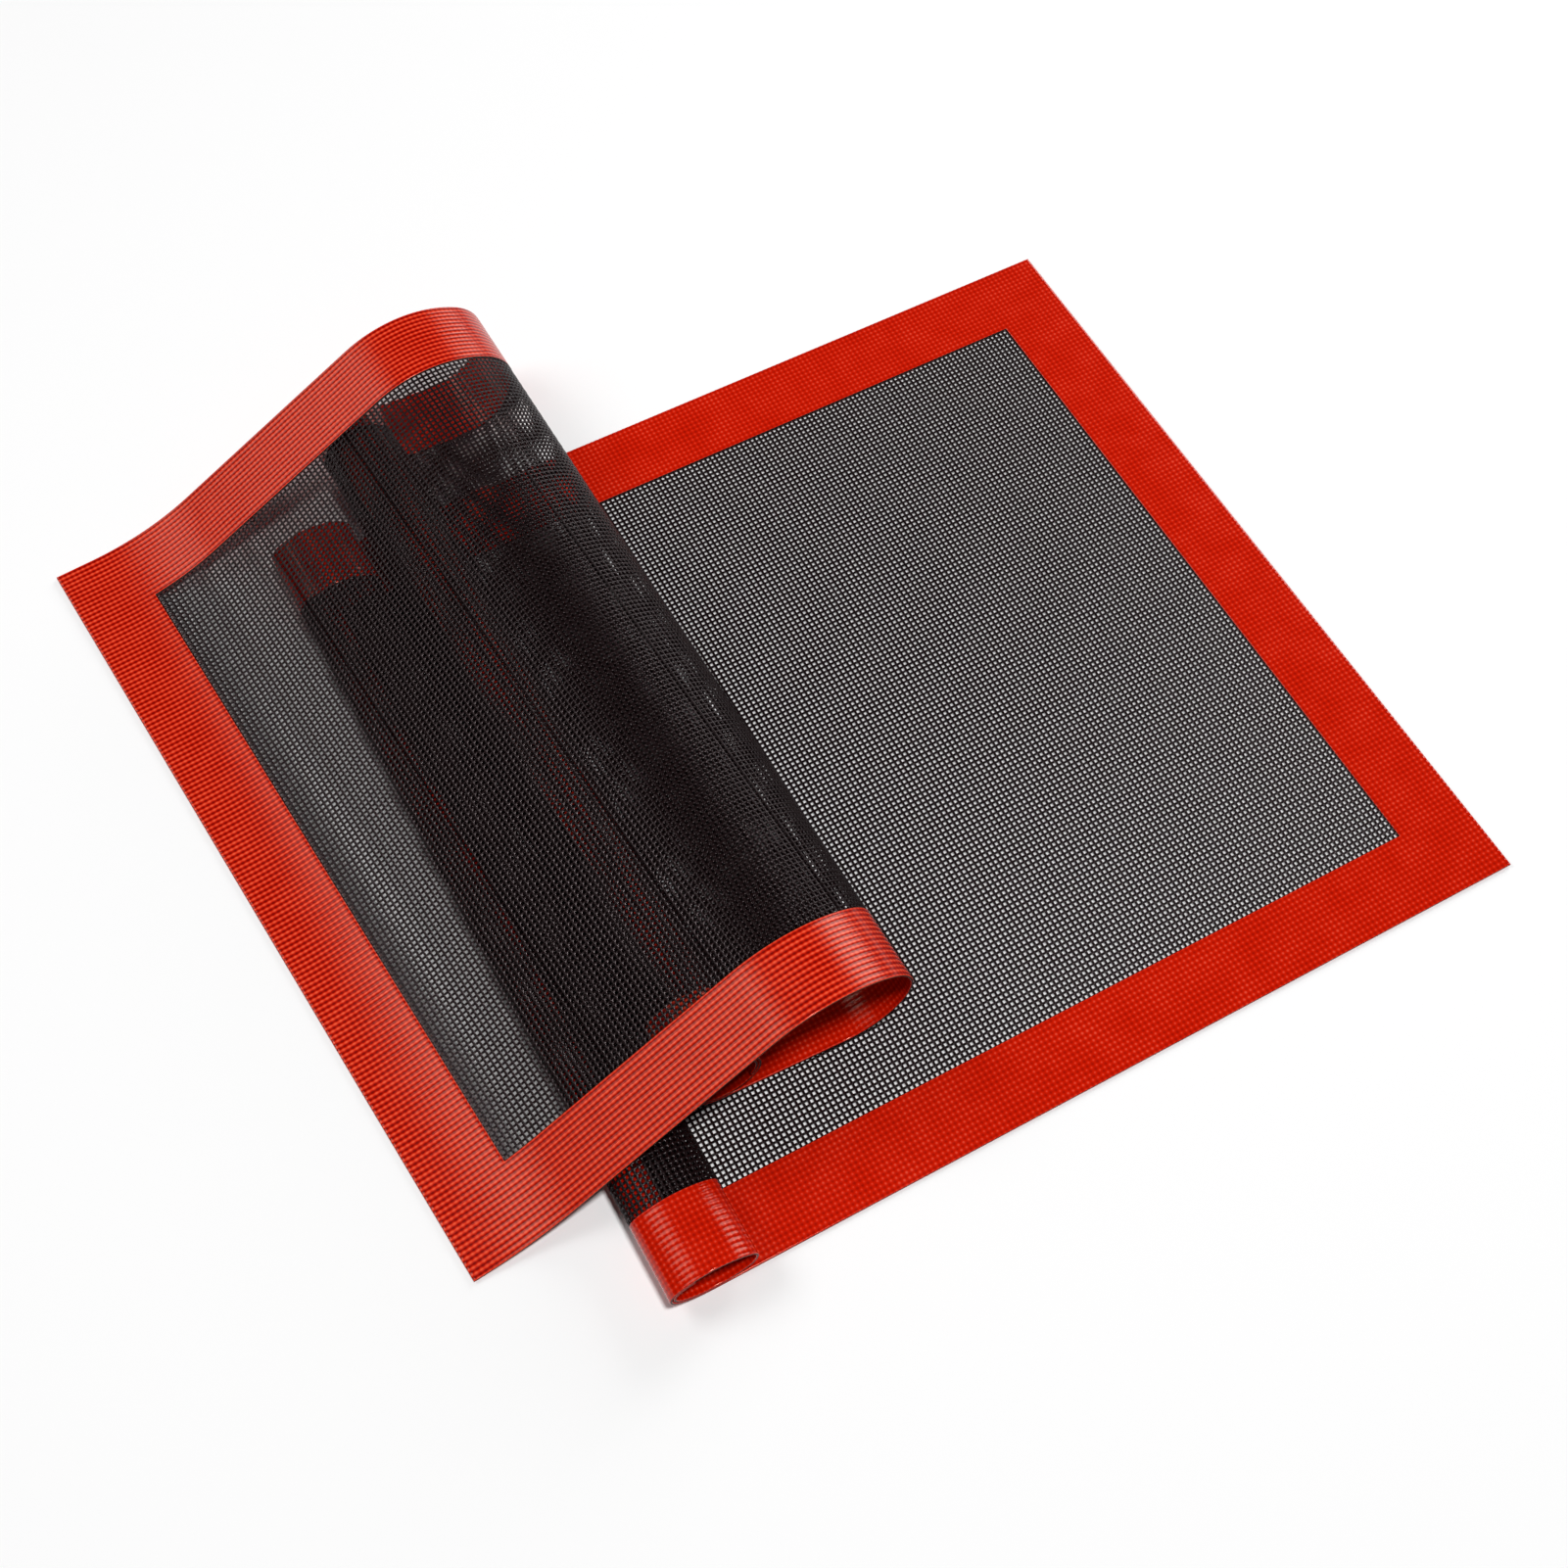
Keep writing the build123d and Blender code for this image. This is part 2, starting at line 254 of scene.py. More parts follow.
def colours():
    """Colours of the mats."""
    return bpy.context.scene.mat_colours


def finishes():
    """Finishes of the mats."""
    return bpy.context.scene.mat_finish


def run_length(run):
    """Length of one run of (length, no turn) or (radius, turn) along the outer face."""
    size, angle = run
    return size * abs(angle) if angle else size


def total_length(runs):
    """Length of all the runs."""
    return sum(run_length(run) for run in runs)


def roll_runs(width, height, side, lay, reach):
    """Runs of a flattened roll that winds inward by one lay a turn."""
    middle = width / 2 - side
    big = (middle**2 + height**2 / 4 - side**2) / (height - 2 * side)
    half = asin(middle / (big - side))
    runs, turned = [], 0
    while total_length(runs) < reach:
        for size, angle in ((big, half), (side, HALF_TURN - 2 * half), (big, half)):
            loss = lay * (turned + angle / 2) / FULL_TURN
            runs.append((size - loss, -angle))
            turned += angle
    return runs


def advance(x, z, way, bend, over):
    """Point and heading after some length of one bend, for numbers or arrays."""
    after = way + bend * over
    straight = bend == 0
    safe = np.where(straight, 1.0, bend)
    x = x + np.where(straight, over * np.cos(way), (np.sin(after) - np.sin(way)) / safe)
    z = z + np.where(straight, over * np.sin(way), (np.cos(way) - np.cos(after)) / safe)
    return x, z, after


class Course:
    """The outer face of a bent sheet, seen from the side, as a chain of runs."""

    def __init__(self, x, z, way, runs):
        rows, done = [], 0
        for size, angle in runs:
            bend = copysign(1 / size, angle) if angle else 0
            reach = run_length((size, angle))
            rows.append((done, x, z, way, bend))
            x, z, way = advance(x, z, way, bend, reach)
            done += reach
        self.starts, *self.rest = np.array(rows).T
        self.end, self.length = (x, z), done

    def at(self, reach, inset):
        """Points at lengths along the course, inset to the right of it."""
        last = len(self.starts) - 1
        which = np.clip(np.searchsorted(self.starts, reach, side="right") - 1, 0, last)
        x, z, way, bend = (values[which] for values in self.rest)
        x, z, after = advance(x, z, way, bend, reach - self.starts[which])
        return x + inset * np.sin(after), z - inset * np.cos(after)


class LowerMat:
    """Places points of the lower mat.

    They have s from its right edge, t from its near edge, and their inset from its underside.
    """

    ribbed = False

    def __init__(self):
        m, p = sizes(), places()
        flat = m.mat_length - p.lower_rolled
        lay = m.band + m.clear
        roll = roll_runs(p.lower_width, p.lower_height, p.lower_side, lay, p.lower_rolled)
        self.course = Course(flat / 2, 0, HALF_TURN, [(flat, 0)] + roll)
        self.near = -m.mat_width / 2

    def place(self, s, t, inset):
        """Points in the part's frame."""
        x, z = self.course.at(s, inset)
        return np.stack([x, self.near + t, z], axis=-1)


class UpperMat:
    """Places points of the upper mat.

    They have s from the flap's left edge, t from its near rim, and their inset from its outer face.
    On the way there, v is the distance across the fold and a the distance along it.
    """

    ribbed = True

    def __init__(self):
        m, p = sizes(), places()
        rise = [(p.rise_radius, p.slope), (p.slope_run, 0), (p.crest_radius, -p.slope)]
        brow = [(p.crest_radius, -p.drop), (p.shoulder_radius, p.drop - RIGHT_ANGLE)]
        bend = Course(0, m.band, 0, rise[:1])
        crest = Course(0, m.band, 0, rise)
        side = Course(0, m.band, 0, rise + brow)
        foot = (side.end[1] - m.band, -RIGHT_ANGLE)
        foot_length = side.length + run_length(foot)
        self.crest, self.crest_length = crest.end, crest.length
        self.foot_v = side.end[0] - foot[0]
        self.foot_y = p.foot_setback - m.mat_width / 2
        self.foot_x = self.find_foot(bend, foot_length)
        flat = m.mat_length - p.lower_rolled
        self.roll_x = (p.lower_width + p.upper_width - flat) / 2 + p.roll_gap
        bed = self.plan(self.foot_v, m.mat_width / 2 / cos(p.skew))[0] - self.roll_x
        bed_length = bed / cos(p.fold_turn - p.skew)
        self.lead = m.mat_width * tan(p.skew)
        hidden = self.lead / 2 + bed_length + p.upper_rolled
        self.toe_length = foot_length + hidden - m.mat_length
        self.toe_a = (self.toe_length - foot_length) * tan(p.skew)
        self.foot_reach = self.lead + foot_length
        runs = [(self.lead, 0), *rise, *brow, foot, (m.mat_length, 0)]
        self.course = Course(-self.lead, m.band, 0, runs)
        lay = m.band + m.clear
        runs = roll_runs(p.upper_width, p.upper_height, p.upper_side, lay, m.mat_length / 2)
        self.roll = Course(self.roll_x, m.band, HALF_TURN, runs)

    def find_foot(self, bend, foot_length):
        """Place of the fold's foot at which the flap's slope clears the lower roll."""
        m, p = sizes(), places()
        reach = p.lower_width / 2 - p.lower_side
        middle = p.lower_height / 2
        back = (reach**2 + middle**2 - p.lower_side**2) / (p.lower_height - 2 * p.lower_side)
        off = back - (back - middle) * cos(p.slope) + m.clear + m.band
        rise = (middle + off / cos(p.slope) - bend.end[1]) / tan(p.slope)
        over = bend.end[0] + rise - self.foot_v
        along = (bend.length + rise / cos(p.slope) - foot_length) * tan(p.skew)
        roll_middle = (p.lower_rolled - m.mat_length) / 2
        return roll_middle - over * cos(p.fold_turn) + along * sin(p.fold_turn)

    def plan(self, v, a):
        """Point on the table from the distances across and along the fold."""
        turned, back = places().fold_turn, v - self.foot_v
        x = self.foot_x + back * cos(turned) - a * sin(turned)
        return x, self.foot_y + back * sin(turned) + a * cos(turned)

    def over_crest(self, past):
        """Point at the crest's height, some way past it, in the middle of the fold."""
        v, z = self.crest
        return Vector((*self.plan(v + past, sizes().mat_width / 2), z))

    def place(self, s, t, inset):
        """Points in the part's frame."""
        p = places()
        reach = self.lead + self.toe_length + s * cos(p.skew) - t * sin(p.skew)
        along = self.toe_a + s * sin(p.skew) + t * cos(p.skew)
        v, z = self.course.at(reach, inset)
        x, y = self.plan(v, along)
        over = np.where(reach > self.foot_reach, np.maximum(self.roll_x - x, 0), 0)
        roll_x, roll_z = self.roll.at(over, inset)
        rolled = over > 0
        y = y - over * tan(p.skew - p.fold_turn)
        return np.stack([np.where(rolled, roll_x, x), y, np.where(rolled, roll_z, z)], axis=-1)


class YarnCount:
    """Turns a place on a mat into a count of yarns and back.

    There are whole yarns at both sides of the bands.
    """

    def __init__(self, extent):
        m = sizes()
        self.places = [0, m.border, extent - m.border, extent]
        border = round(m.border / m.pitch)
        field = round((extent - 2 * m.border) / m.pitch)
        self.counts = [0, border, border + field, 2 * border + field]

    def of(self, place):
        """Count of yarns at a place."""
        return np.interp(place, self.places, self.counts)

    def to(self, count):
        """Place of a count of yarns."""
        return np.interp(count, self.counts, self.places)


def yarn_counts():
    """Yarn counts along and across a mat."""
    return YarnCount(sizes().mat_length), YarnCount(sizes().mat_width)


def sheet_faces(solid, open_start=False, open_end=False):
    """Corner numbers of a sheet's two faces, its walls and its open ends, where its grid is solid.

    An open end is told by whether it is open, for the whole end or for each column of the grid.
    """
    rows, columns = solid.shape
    points = (rows + 1) * (columns + 1)
    corner = np.arange(points).reshape(rows + 1, columns + 1)
    a, b, c, d = corner[:-1, :-1], corner[1:, :-1], corner[1:, 1:], corner[:-1, 1:]
    outer = np.stack([a[solid], b[solid], c[solid], d[solid]], axis=-1)
    pad = np.pad(solid, 1)
    walls, ends = [], []
    for there, one, two in (
        (pad[:-2, 1:-1], a, d),
        (pad[2:, 1:-1], c, b),
        (pad[1:-1, :-2], b, a),
        (pad[1:-1, 2:], d, c),
    ):
        edge = solid & ~there
        seam = np.zeros_like(edge)
        if one is a:
            seam[0] = edge[0] & open_start
        if one is c:
            seam[-1] = edge[-1] & open_end
        for group, part in ((walls, edge & ~seam), (ends, seam)):
            first, second = one[part], two[part]
            group.append(np.stack([first, second, second + points, first + points], axis=-1))
    return outer, outer[:, ::-1] + points, np.concatenate(walls), np.concatenate(ends)


def mesh_piece(name, points, faces, marks, flat):
    """A mesh from its points, and groups of four-sided faces with a material each.

    Marks are the yarn counts at each point. It is shaded smooth but for its last faces, which
    are flat.
    """
    quads = np.concatenate(faces)
    materials = np.concatenate([np.full(len(group), k) for k, group in enumerate(faces)])
    used, quads = np.unique(quads, return_inverse=True)
    quads = quads.reshape(-1, 4)
    starts = np.arange(0, quads.size, 4, dtype=np.int32)
    mesh = bpy.data.meshes.new(name)
    mesh.vertices.add(len(used))
    mesh.vertices.foreach_set("co", points[used].astype(np.float32).ravel())
    mesh.loops.add(quads.size)
    mesh.loops.foreach_set("vertex_index", quads.astype(np.int32).ravel())
    mesh.polygons.add(len(quads))
    mesh.polygons.foreach_set("loop_start", starts)
    mesh.polygons.foreach_set("use_smooth", np.arange(len(quads)) < len(quads) - flat)
    mesh.polygons.foreach_set("material_index", materials.astype(np.int32))
    mesh.update(calc_edges=True)
    layer = mesh.uv_layers.new(name="yarn_count")
    layer.data.foreach_set("uv", marks[used][quads.ravel()].astype(np.float32).ravel())
    mesh.validate()
    piece = bpy.data.objects.new(name, mesh)
    bpy.context.scene.collection.objects.link(piece)
    return piece


def two_faced_piece(name, mat, s_lines, t_lines, counts, insets, faces, flat=0):
    """A piece of a mat from the lines of its grid and the insets of its two faces."""
    s_grid, t_grid = np.meshgrid(s_lines, t_lines, indexing="ij")
    s, t = s_grid.ravel(), t_grid.ravel()
    points = np.concatenate([mat.place(s, t, inset.ravel()) for inset in insets])
    marks = np.stack([counts[0].of(s), counts[1].of(t)], axis=-1)
    return mesh_piece(name, points, faces, np.tile(marks, (2, 1)), flat)


def yarn_grid(name, mat, s_span, t_span, counts):
    """Open mesh of crossing round yarns over a stretch of the mat."""
    m = sizes()

    def lines(span, count):
        """Places of the lines of the yarns in a span, with each yarn's number and each line's.

        Where the cloth goes on, they end at the first side of the next piece's yarn.
        """
        first, last = np.rint(count.of(np.array(span)))
        middles = count.to(np.arange(first, last + 1))
        found = (middles[:, None] + m.yarn * YARN_LINES).ravel()
        if last < count.counts[-2]:
            found = found[: 1 - len(YARN_LINES)]
        yarn, line = np.divmod(np.arange(len(found)), len(YARN_LINES))
        return found, first + yarn, line

    s_lines, s_yarn, s_line = lines(s_span, counts[0])
    t_lines, t_yarn, t_line = lines(t_span, counts[1])
    s_middle, t_middle = YARN_LINES[s_line][:, None] == 0, YARN_LINES[t_line] == 0
    over = (s_yarn[:, None] + t_yarn) % 2 == 0
    weave = np.where(over | (s_middle & t_middle), 1, 1 - m.yarn_dip)
    half = m.cloth / 2
    rise = half * np.where(s_middle | t_middle, weave, m.yarn_side)
    in_s = YARN_LINES[s_line[:-1]] < YARN_LINES[-1]
    in_t = YARN_LINES[t_line[:-1]] < YARN_LINES[-1]
    # The cut ends of the yarns along the mat meet the next piece's, so they don't round over
    faces = sheet_faces(in_s[:, None] | in_t, in_t, in_t)
    insets, cut = (half - rise, half + rise), len(faces[-1])
    faces = [np.concatenate(faces)]
    return two_faced_piece(name, mat, s_lines, t_lines, counts, insets, faces, cut)


def band_strip(name, mat, s_span, counts, open_start=False, open_end=False):
    """Solid band round a mat between two lengths, ribbed by the yarns in it.

    The mesh's window is left open.
    """
    m = sizes()
    soft = m.band * m.rim_share
    start, end = np.rint(counts[0].of(np.array(s_span)))
    s_steps = np.arange(start * LINES_ALONG, end * LINES_ALONG + 1)
    t_steps = np.arange(counts[1].counts[-1] * LINES_ACROSS + 1)
    s_lines = counts[0].to(s_steps / LINES_ALONG)
    t_lines = counts[1].to(t_steps / LINES_ACROSS)
    s_lines, s_dip = end_lines(s_lines, soft, open_start, open_end)
    t_lines, t_dip = end_lines(t_lines, soft, False, False)

    def wave(count):
        """From -1 between two yarns to 1 over a yarn, in straight slopes."""
        return 4 * np.abs(count % 1 - 0.5) - 1

    def relief(height, part):
        """How far the yarns push the silicone out, for the part that runs along the mat."""
        beads, ridges = wave(counts[0].of(s_lines)), wave(counts[1].of(t_lines))
        return height / 2 * (part * ridges + (1 - part) * beads[:, None])

    beaded = relief(m.bead, m.bead_share)
    outer = relief(m.ridge, m.ridge_share) if mat.ribbed else beaded
    dip = np.maximum(s_dip[:, None], t_dip) * soft
    s_mid, t_mid = (s_lines[:-1] + s_lines[1:]) / 2, (t_lines[:-1] + t_lines[1:]) / 2
    open_s = (s_mid > m.border) & (s_mid < m.mat_length - m.border)
    open_t = (t_mid > m.border) & (t_mid < m.mat_width - m.border)
    *faces, _ = sheet_faces(~(open_s[:, None] & open_t), open_start, open_end)
    insets = (dip - outer, m.band - dip + beaded)
    return two_faced_piece(name, mat, s_lines, t_lines, counts, insets, faces)


def end_lines(lines, soft, open_start, open_end):
    """Add a line near each end of the lines, and tell which of them dip.

    It lies inside a closed end, whose rim dips, and just past an open one, so that it shades on.
    """
    past = soft * OVERLAP_SHARE
    start = [lines[0] - past, lines[0]] if open_start else [lines[0], lines[0] + soft]
    end = [lines[-1], lines[-1] + past] if open_end else [lines[-1] - soft, lines[-1]]
    dips = np.zeros(len(lines) + 2)
    dips[0], dips[-1] = not open_start, not open_end
    return np.array([*start, *lines[1:-1], *end]), dips


class Nodes:
    """The node tree of a material or a world, with one short way to add a node."""

    def __init__(self, owner):
        owner.use_nodes = True
        self.owner, self.tree = owner, owner.node_tree
        self.tree.nodes.clear()

    def add(self, kind, settings=None, inputs=None, links=None, stops=()):
        """Add a node with its settings, socket values, links and a ramp's (height, colour) stops.

        A node in links stands for its first output.
        """
        node = self.tree.nodes.new(kind)
        for key, value in (settings or {}).items():
            setattr(node, key, value)
        for key, value in (inputs or {}).items():
            node.inputs[key].default_value = value
        for key, source in (links or {}).items():
            source = source.outputs[0] if isinstance(source, bpy.types.Node) else source
            self.tree.links.new(source, node.inputs[key])
        for k, (height, tone) in enumerate(stops):
            parts = node.color_ramp.elements
            part = parts[k] if k < len(parts) else parts.new(height)
            part.position, part.color = height, (*tone, 1)
        return node


MULTIPLY = {"operation": "MULTIPLY"}
MULTIPLY_ADD = {"operation": "MULTIPLY_ADD"}


def yarn_waves(nodes, ridge_share):
    """Height from 0 in a furrow to 1 over a yarn, and the place in yarns that it comes from."""
    place = nodes.add("ShaderNodeUVMap", {"uv_map": "yarn_count"})
    split = nodes.add("ShaderNodeSeparateXYZ", links={0: place})
    waves = []
    for count in split.outputs[:2]:
        angle = nodes.add("ShaderNodeMath", MULTIPLY, {1: FULL_TURN}, {0: count})
        waves.append(nodes.add("ShaderNodeMath", {"operation": "COSINE"}, links={0: angle}))
    beads, ridges = waves
    part = nodes.add("ShaderNodeMath", MULTIPLY, {1: 1 - ridge_share}, {0: beads})
    whole = nodes.add("ShaderNodeMath", MULTIPLY_ADD, {1: ridge_share}, {0: ridges, 2: part})
    return nodes.add("ShaderNodeMath", MULTIPLY_ADD, {1: 0.5, 2: 0.5}, {0: whole}), place


def silicone(nodes, ridge_share, top, contrast, smoothest):
    """Cured red silicone: thin and lighter over each yarn, deep between, partly its own tone and
    partly painted highlight on the tops and painted shade in the furrows.

    To the eye it has a soft sheen and a faint cloudiness.
    """
    c, f = colours(), finishes()
    waves, place = yarn_waves(nodes, ridge_share)
    fine = {"Scale": f.cloud_scale, "Detail": f.cloud_detail}
    cloud = nodes.add("ShaderNodeTexNoise", inputs=fine, links={"Vector": place})
    low = (1 - contrast - f.cloud_tone) / 2
    height = nodes.add("ShaderNodeMath", MULTIPLY_ADD, {1: contrast, 2: low}, {0: waves})
    held = {**MULTIPLY_ADD, "use_clamp": True}
    cloudy = nodes.add("ShaderNodeMath", held, {1: f.cloud_tone}, {0: cloud, 2: height})
    # Furrow, solid and top colours: part the silicone's own depth, part painted shade in the
    # furrows and painted highlight on the tops
    stops = ((f.furrow_stop, c.furrow_and_painted_shade), (f.solid_stop, c.red), (f.top_stop, top))
    tone = nodes.add("ShaderNodeValToRGB", links={0: cloudy}, stops=stops)
    span = {1: f.cloud_rough, 2: smoothest}
    rough = nodes.add("ShaderNodeMath", MULTIPLY_ADD, span, {0: cloud})
    fine = {"Scale": f.pore_scale, "Detail": f.pore_detail}
    pores = nodes.add("ShaderNodeTexNoise", inputs=fine, links={"Vector": place})
    depth = {"Strength": f.pore_bump, "Distance": f.pore_depth}
    bump = nodes.add("ShaderNodeBump", inputs=depth, links={"Height": pores})
    # The sheen colour is a painted warm tint on the highlights
    return nodes.add(
        "ShaderNodeBsdfPrincipled",
        inputs={"IOR": f.ior, "Specular Tint": (*c.sheen, 1)},
        links={"Base Color": tone, "Roughness": rough, "Normal": bump},
    )


def red_silicone_ridged(nodes):
    """Silicone of the ribbed face, moulded: clear ridges that catch the light in rows, helped by a
    painted highlight on the ridges and painted shade in the furrows.
    """
    f, part = finishes(), sizes().ridge_share
    return silicone(nodes, part, colours().ridge_and_painted_highlight, f.ridge_contrast, f.ridge_rough)


def red_silicone_beaded(nodes):
    """Silicone of the other face, moulded: small beads, each with its own speck of light, partly a
    painted highlight on the bead's top.
    """
    f, part = finishes(), sizes().bead_share
    return silicone(nodes, part, colours().bead_and_painted_glint, f.bead_contrast, f.bead_rough)


def cut_silicone_rim(nodes):
    """Cut rim of the band: pale and matte, with the dark ends of the yarns in it."""
    c, f = colours(), finishes()
    waves, _ = yarn_waves(nodes, sizes().bead_share)
    stops = ((f.rim_stop, c.rim), (f.yarn_end_stop, c.yarn_end))
    tone = nodes.add("ShaderNodeValToRGB", links={0: waves}, stops=stops)
    return nodes.add(
        "ShaderNodeBsdfPrincipled",
        inputs={"Roughness": f.rim_rough, "IOR": f.ior},
        links={"Base Color": tone},
    )


def black_coated_glass_yarn(nodes):
    """Glass yarn in black silicone: near black, with a bright gloss where a yarn rounds over."""
    c, f = colours(), finishes()
    place = nodes.add("ShaderNodeUVMap", {"uv_map": "yarn_count"})
    fine = {"Scale": f.grain_scale, "Detail": f.grain_detail}
    grain = nodes.add("ShaderNodeTexNoise", inputs=fine, links={"Vector": place})
    span = {1: f.grain_rough, 2: f.yarn_rough}
    rough = nodes.add("ShaderNodeMath", MULTIPLY_ADD, span, {0: grain})
    span = {1: f.grain_tone, 2: f.yarn_tone}
    level = nodes.add("ShaderNodeMath", MULTIPLY_ADD, span, {0: grain})
    scale = {"operation": "SCALE"}
    tone = nodes.add("ShaderNodeVectorMath", scale, {0: tuple(c.black)}, {"Scale": level})
    depth = {"Strength": f.grain_bump, "Distance": f.grain_depth}
    bump = nodes.add("ShaderNodeBump", inputs=depth, links={"Height": grain})
    # The yarn sheen is a painted pink tint on the highlights, standing in for red reflected from
    # the bands
    gloss = {"Specular IOR Level": f.yarn_gloss, "Specular Tint": (*c.black_sheen, 1)}
    return nodes.add(
        "ShaderNodeBsdfPrincipled",
        inputs={"IOR": f.ior, **gloss},
        links={"Base Color": tone, "Roughness": rough, "Normal": bump},
    )


def white_studio_table(nodes):
    """White painted table: matte, so that it takes only a soft shadow."""
    f, tone = finishes(), (*colours().table, 1)
    inputs = {"Base Color": tone, "Roughness": f.table_rough, "Specular IOR Level": f.table_gloss}
    return nodes.add("ShaderNodeBsdfPrincipled", inputs=inputs)


def dress(piece, *skins):
    """Give a piece its materials, each made once and named as its function is."""
    for skin in skins:
        name = skin.__name__
        material = bpy.data.materials.get(name)
        if not material:
            material = bpy.data.materials.new(name)
            nodes = Nodes(material)
            nodes.add("ShaderNodeOutputMaterial", links={"Surface": skin(nodes)})
        piece.data.materials.append(material)


def cloth_pieces(prefix, mat, counts, span):
    """Mesh cloth between two lengths, in pieces that meet at the side of a yarn."""
    m = sizes()
    field = (m.border, m.mat_width - m.border)
    first, last = counts[0].of(np.array(span))
    parts = ceil((last - first) / MAX_YARNS)
    marks = counts[0].to(np.rint(np.linspace(first, last, parts + 1)))
    made = []
    for k, part in enumerate(zip(marks[:-1], marks[1:])):
        piece = yarn_grid(f"{prefix}_{k + 1}", mat, part, field, counts)
        dress(piece, black_coated_glass_yarn)
        made.append(piece)
    return made


def band_piece(name, mat, counts, span, replaced, **ends):
    """One piece of a mat's band, dressed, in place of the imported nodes."""
    piece = band_strip(name, mat, span, counts, **ends)
    outer = red_silicone_ridged if mat.ribbed else red_silicone_beaded
    dress(piece, outer, red_silicone_beaded, cut_silicone_rim)
    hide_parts(*replaced)
    return piece


class BuildLowerMat(bpy.types.Operator):
    """Build the lower mat, flat with its left end rolled up"""

    bl_idname = "baking_mats.lower_mat"
    bl_label = "Build lower mat"

    def execute(self, context):
        m = sizes()
        mat, counts = LowerMat(), yarn_counts()
        half = float(counts[0].to(np.rint(counts[0].of(m.mat_length / 2))))
        flat_nodes = ["lower_mat_near_band", "lower_mat_far_band", "lower_mat_end_band"]
        roll_nodes = ["lower_roll_near_band", "lower_roll_far_band", "lower_roll_inner_band"]
        flat, roll = (0, half), (half, m.mat_length)
        bands = [
            band_piece("lower_band_1", mat, counts, flat, flat_nodes, open_end=True),
            band_piece("lower_band_2", mat, counts, roll, roll_nodes, open_start=True),
        ]
        window = (m.border, m.mat_length - m.border)
        cloth = cloth_pieces("lower_cloth", mat, counts, window)
        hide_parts("lower_mat_mesh", "lower_roll_mesh")
        for piece in [*bands, *cloth]:
            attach(piece, "lower_mat")
        return {"FINISHED"}


class BuildUpperMat(bpy.types.Operator):
    """Build the upper mat, its flap over the rolls, its fold, bed and roll"""

    bl_idname = "baking_mats.upper_mat"
    bl_label = "Build upper mat"

    def execute(self, context):
        m, p = sizes(), places()
        mat, counts = UpperMat(), yarn_counts()
        # The flap ends where even its far rim, which trails by the skew, is past the bend
        given = mat.crest_length - mat.toe_length + p.bend_after
        parting = (given + m.mat_width * sin(p.skew)) / cos(p.skew)
        parting = float(counts[0].to(np.ceil(counts[0].of(parting))))
        flap_nodes = ["flap_near_band", "flap_far_band", "flap_end_band"]
        fold_nodes = [
            "upper_fold_near_band", "upper_fold_far_band",
            "upper_bed_near_band", "upper_bed_far_band",
            "upper_roll_near_band", "upper_roll_far_band", "upper_roll_inner_band",
        ]
        front, back = (0, parting), (parting, m.mat_length)
        flap_band = band_piece("flap_band", mat, counts, front, flap_nodes, open_end=True)
        fold_band = band_piece("fold_band", mat, counts, back, fold_nodes, open_start=True)
        front, back = (m.border, parting), (parting, m.mat_length - m.border)
        flap = cloth_pieces("flap_cloth", mat, counts, front)
        fold = cloth_pieces("fold_cloth", mat, counts, back)
        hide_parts("flap_mesh")
        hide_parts("upper_fold_mesh", "upper_bed_mesh", "upper_roll_mesh")
        start, end = mat.over_crest(-p.bend_before), mat.over_crest(p.bend_after)
        for piece in [flap_band, *flap]:
            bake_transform(piece)
        for piece in [fold_band, *fold]:
            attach(piece, "upper_mat")
        return {"FINISHED"}


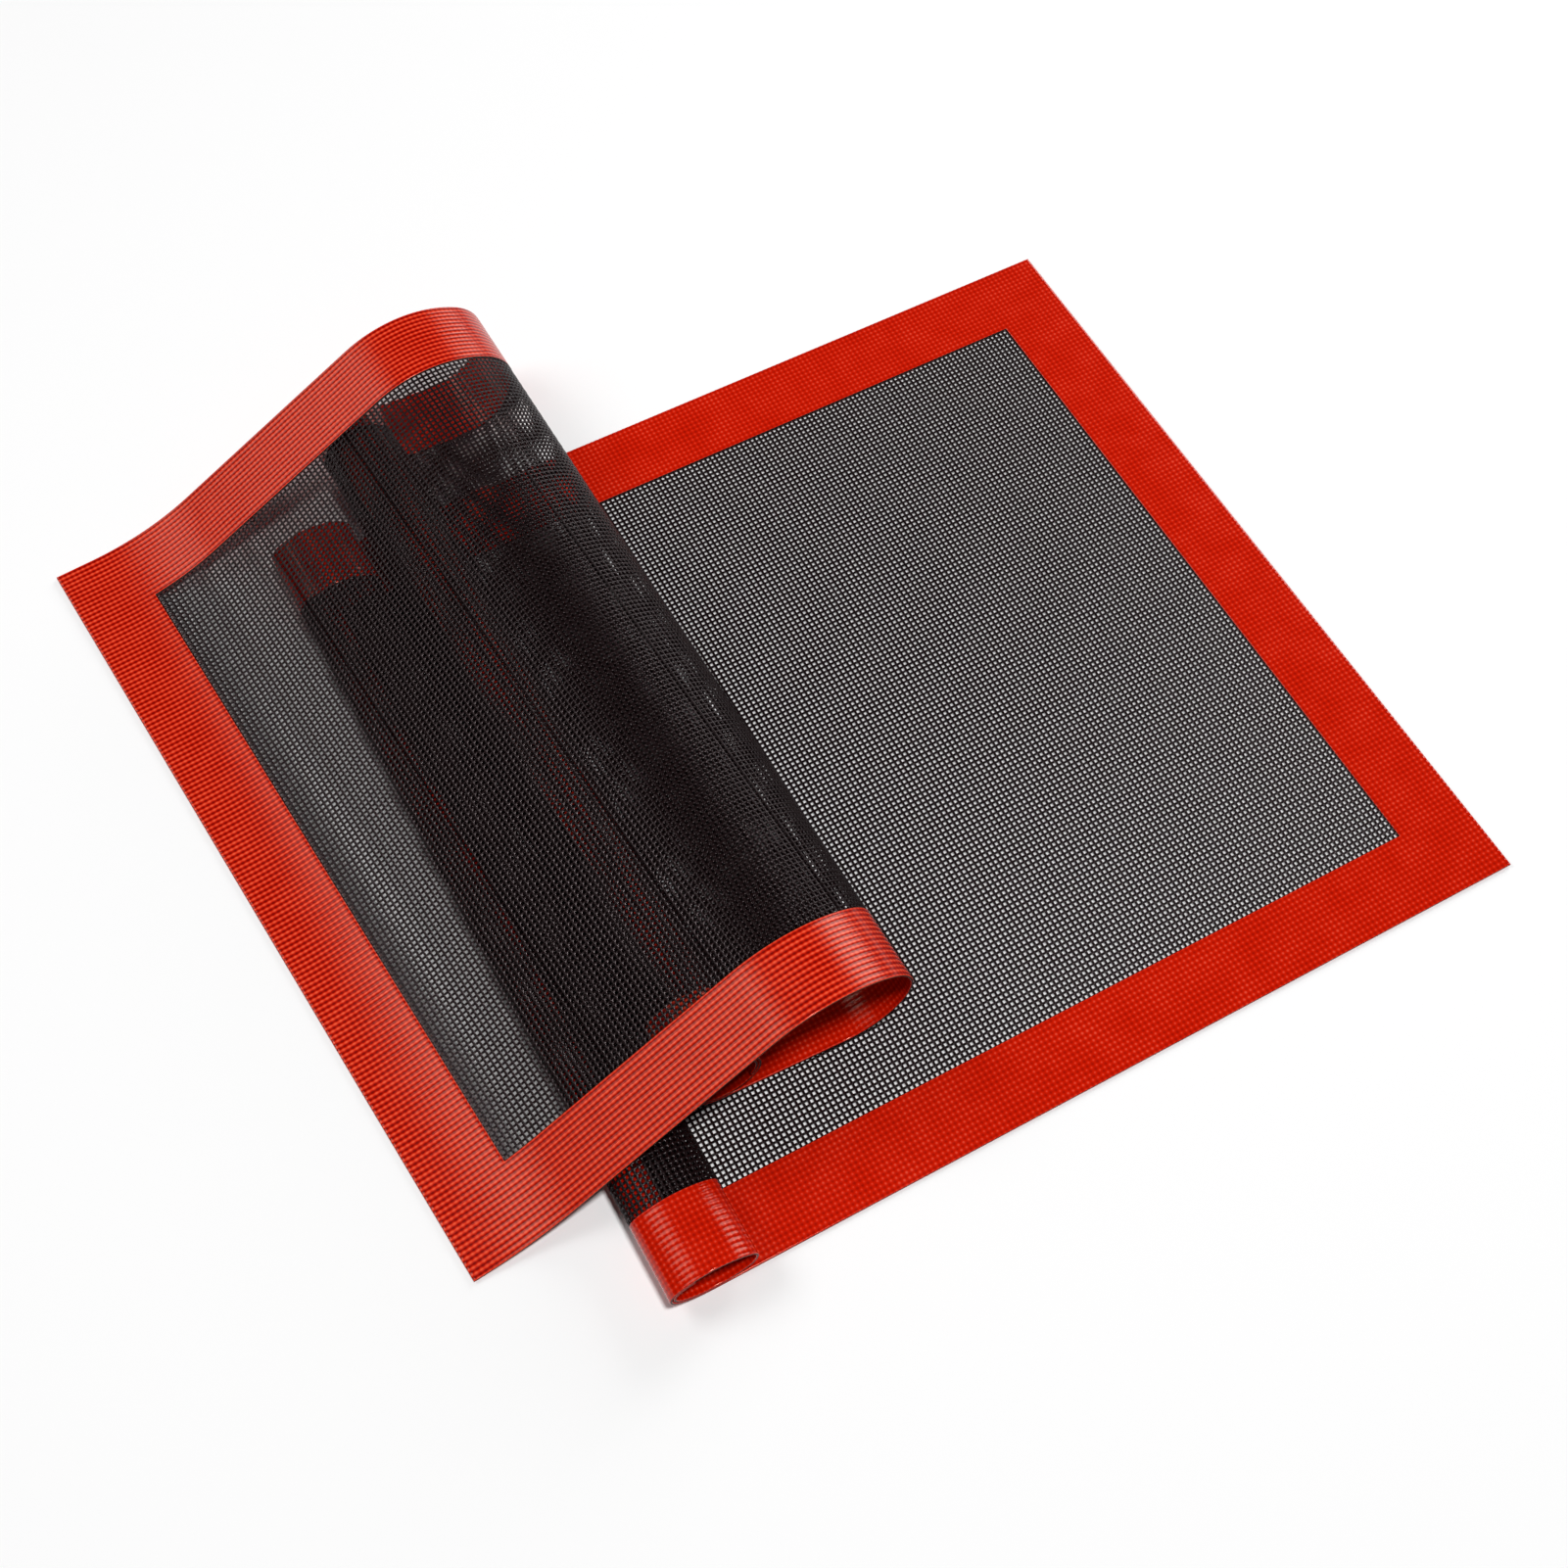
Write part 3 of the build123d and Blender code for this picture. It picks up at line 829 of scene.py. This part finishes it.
class BuildStage(bpy.types.Operator):
    """Build the table, the lights and the camera of the photograph"""

    bl_idname = "baking_mats.stage"
    bl_label = "Build stage"

    def execute(self, context):
        scene, g = context.scene, context.scene.mat_stage
        self.table(scene, g)
        self.lamp(scene, "key", g.key_place, g.key_size, g.key_power)
        self.lamp(scene, "left", g.left_place, g.side_size, g.left_power)
        self.lamp(scene, "right", g.right_place, g.side_size, g.right_power)
        self.camera(scene, g)
        self.world(scene, g)
        scene.view_settings.view_transform = "Standard"
        return {"FINISHED"}

    def table(self, scene, g):
        """The table that the mats lie on."""
        half = g.table_side / 2
        corners = [(-half, -half, 0), (half, -half, 0), (half, half, 0), (-half, half, 0)]
        top = bpy.data.meshes.new("table")
        top.from_pydata(corners, [], [(0, 1, 2, 3)])
        floor = bpy.data.objects.new("table", top)
        floor.location.z = -g.table_drop
        scene.collection.objects.link(floor)
        dress(floor, white_studio_table)

    def lamp(self, scene, name, place, size, watts):
        """A square softbox that looks at the mats."""
        data = bpy.data.lights.new(name, "AREA")
        data.size, data.energy = size, watts
        lamp = bpy.data.objects.new(name, data)
        lamp.location = place
        way = Vector(scene.mat_stage.aim) - Vector(place)
        lamp.rotation_euler = way.to_track_quat("-Z", "Y").to_euler()
        scene.collection.objects.link(lamp)

    def camera(self, scene, g):
        """The camera that took the photograph, from the mats' corners."""
        data = bpy.data.cameras.new("camera")
        data.sensor_width, data.lens = g.sensor, g.lens
        camera = bpy.data.objects.new("camera", data)
        right = Vector((0.87527, -0.48345, 0.01323))
        down = Vector((-0.41445, -0.76388, -0.49469))
        forward = Vector((0.24926, 0.42750, -0.86897))
        turned = Matrix((right, -down, -forward)).transposed()
        camera.matrix_world = Matrix.Translation(g.camera_place) @ turned.to_4x4()
        scene.collection.objects.link(camera)
        scene.camera = camera

    def world(self, scene, g):
        """White where the camera looks past the table, softer as a light."""
        nodes = Nodes(bpy.data.worlds.new("studio"))
        seen = nodes.add("ShaderNodeLightPath").outputs["Is Camera Ray"]
        white = nodes.add("ShaderNodeBackground", inputs={"Color": WHITE})
        soft = nodes.add("ShaderNodeBackground", inputs={"Color": WHITE, "Strength": g.soft})
        mix = nodes.add("ShaderNodeMixShader", links={0: seen, 1: soft, 2: white})
        nodes.add("ShaderNodeOutputWorld", links={0: mix})
        scene.world = nodes.owner


class MatsPanel(bpy.types.Panel):
    """Sizes, colours and build steps of the mats"""

    bl_idname = "VIEW3D_PT_baking_mats"
    bl_label = "Baking Mats"
    bl_space_type = "VIEW_3D"
    bl_region_type = "UI"
    bl_category = "Baking Mats"

    def draw(self, context):
        layout = self.layout
        for name, group in GROUPS.items():
            box = layout.box()
            for field in group.__annotations__:
                box.prop(getattr(context.scene, name), field)
        for step in STEPS:
            layout.operator(step.bl_idname)


STEPS = (BuildLowerMat, BuildUpperMat, BuildStage)
GROUPS = {
    "mat_sizes": MatSizes,
    "mat_places": PlaceSizes,
    "mat_colours": MatColours,
    "mat_finish": MatFinish,
    "mat_stage": StageSizes,
}


def register():
    """Register the property groups, the operators and the panel."""
    for name, group in GROUPS.items():
        bpy.utils.register_class(group)
        setattr(bpy.types.Scene, name, bpy.props.PointerProperty(type=group))
    for item in (*STEPS, MatsPanel):
        bpy.utils.register_class(item)


def unregister():
    """Take everything out again."""
    for item in (MatsPanel, *reversed(STEPS)):
        bpy.utils.unregister_class(item)
    for name, group in GROUPS.items():
        delattr(bpy.types.Scene, name)
        bpy.utils.unregister_class(group)


def main():
    """Build the mats and the stage."""
    register()
    bpy.ops.baking_mats.lower_mat()
    bpy.ops.baking_mats.upper_mat()
    bpy.ops.baking_mats.stage()


if __name__ == "__main__":
    main()
